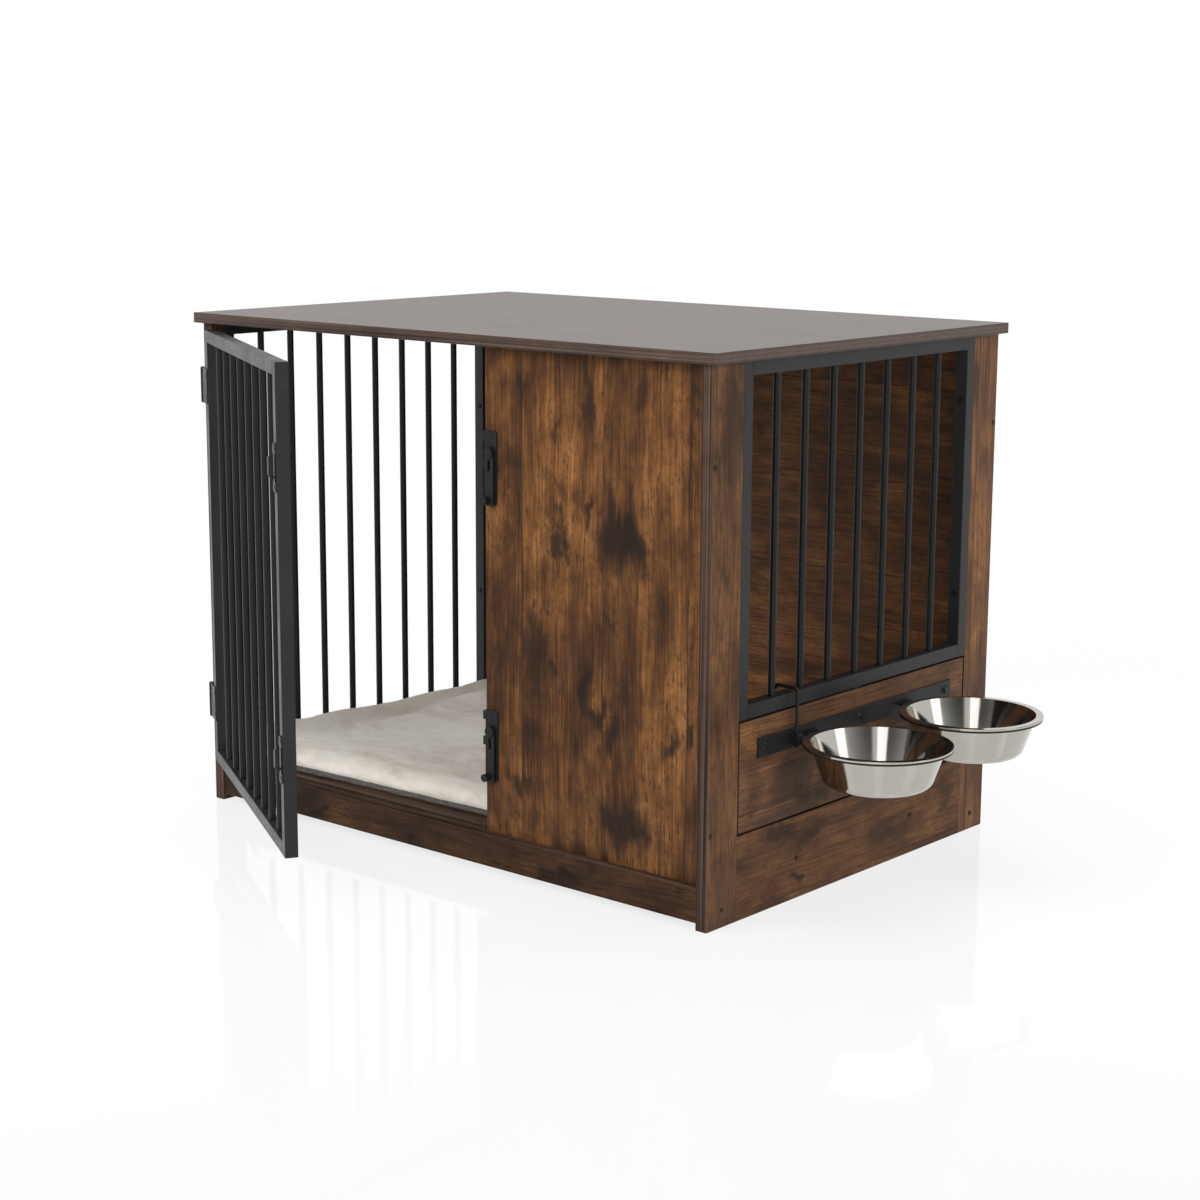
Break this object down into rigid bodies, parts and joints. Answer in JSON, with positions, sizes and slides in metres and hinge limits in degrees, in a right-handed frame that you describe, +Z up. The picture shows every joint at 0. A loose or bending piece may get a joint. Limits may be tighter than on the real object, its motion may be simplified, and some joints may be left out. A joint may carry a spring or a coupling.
{
  "type": "pet crate",
  "caption": "Side-table style wooden pet crate with barred side walls, a barred hinged door with drop latches, a swivelling feeder with lift-out bowls and a soft mat.",
  "frame": {"origin": "on the floor, under the middle of the box around the crate with its door standing open", "axes": "+X to the feeder side, +Y to the rear wall, +Z up"},
  "size_m": [1.1786, 0.9608, 0.745],
  "materials": {
    "rustic_wood": "rustic brown laminate",
    "plain_wood": "raw batten",
    "black_steel": "black powder coat",
    "black_screws": "black oxide",
    "zinc_steel": "zinc plated",
    "stainless": "polished",
    "brown_caps": "matte",
    "fleece": "short fleece pile"
  },
  "bodies": {
    "carcass": {"top_panel": "rustic_wood", "post_front_left": "rustic_wood", "post_front_right": "rustic_wood", "post_rear_left": "rustic_wood", "post_rear_right": "rustic_wood", "front_rail": "rustic_wood", "rear_rail": "rustic_wood", "left_rail": "rustic_wood", "right_rail": "rustic_wood", "front_panel": "rustic_wood", "rear_panel": "rustic_wood", "floor_panel": "rustic_wood", "floor_cleats": "plain_wood", "top_blocks": "plain_wood", "left_grille_stile_front": "black_steel", "left_grille_stile_rear": "black_steel", "left_grille_rail_top": "black_steel", "left_grille_rail_bottom": "black_steel", "right_grille_stile_front": "black_steel", "right_grille_stile_rear": "black_steel", "right_grille_rail_top": "black_steel", "right_grille_rail_bottom": "black_steel", "left_grille_bars": "black_steel", "right_grille_bars": "black_steel", "hinge_post_leaf_upper": "black_steel", "latch_plate_upper": "black_steel", "latch_rivet_upper": "black_steel", "hinge_post_leaf_lower": "black_steel", "latch_plate_lower": "black_steel", "latch_rivet_lower": "black_steel", "grille_screws": "black_screws", "fitting_screws": "black_screws", "hinge_pin_upper": "zinc_steel", "hinge_pin_lower": "zinc_steel", "feeder_pivot_top": "zinc_steel", "feeder_pivot_bottom": "zinc_steel", "hole_caps": "brown_caps", "mat": "fleece"},
    "door": {"door_stile_hinge": "black_steel", "door_stile_free": "black_steel", "door_rail_top": "black_steel", "door_rail_bottom": "black_steel", "door_bars": "black_steel", "door_screws": "black_screws", "keeper_upper": "black_steel", "keeper_lower": "black_steel", "hinge_door_leaf_upper": "black_steel", "hinge_door_leaf_lower": "black_steel"},
    "feeder": {"feeder_panel": "rustic_wood", "feeder_bar": "black_steel", "feeder_bolts": "black_screws", "bowl_ring_front": "black_steel", "bowl_ring_rear": "black_steel", "hook_guide": "black_steel"},
    "feeder_hook": {"wire_hook": "black_steel"},
    "bowl_front": {"bowl_front": "stainless"},
    "bowl_rear": {"bowl_rear": "stainless"},
    "latch_arm_upper": {"latch_arm_upper": "black_steel"},
    "latch_arm_lower": {"latch_arm_lower": "black_steel"}
  },
  "joints": [
    {"name": "door_hinge", "type": "hinge", "parent": "carcass", "child": "door", "pos_m": [-0.58235, -0.19434, 0.4], "axis": [0, 0, -1], "range_deg": [-32.6, 149.5]},
    {"name": "latch_upper_pivot", "type": "hinge", "parent": "carcass", "child": "latch_arm_upper", "pos_m": [-0.01025, -0.17974, 0.585], "axis": [0, 1, 0], "range_deg": [-270, 0]},
    {"name": "latch_lower_pivot", "type": "hinge", "parent": "carcass", "child": "latch_arm_lower", "pos_m": [-0.01025, -0.17974, 0.1985], "axis": [0, 1, 0], "range_deg": [-270, 0]},
    {"name": "feeder_swivel", "type": "hinge", "parent": "carcass", "child": "feeder", "pos_m": [0.37175, 0.13826, 0.19], "axis": [0, 0, 1], "range_deg": [0, 90]},
    {"name": "hook_slide", "type": "slide", "parent": "feeder", "child": "feeder_hook", "axis": [0, 0, 1], "range_m": [-0.0042, 0.01]},
    {"name": "bowl_front_lift", "type": "slide", "parent": "feeder", "child": "bowl_front", "axis": [0, 0, 1], "range_m": [0, 0.07]},
    {"name": "bowl_rear_lift", "type": "slide", "parent": "feeder", "child": "bowl_rear", "axis": [0, 0, 1], "range_m": [0, 0.07]}
  ]
}
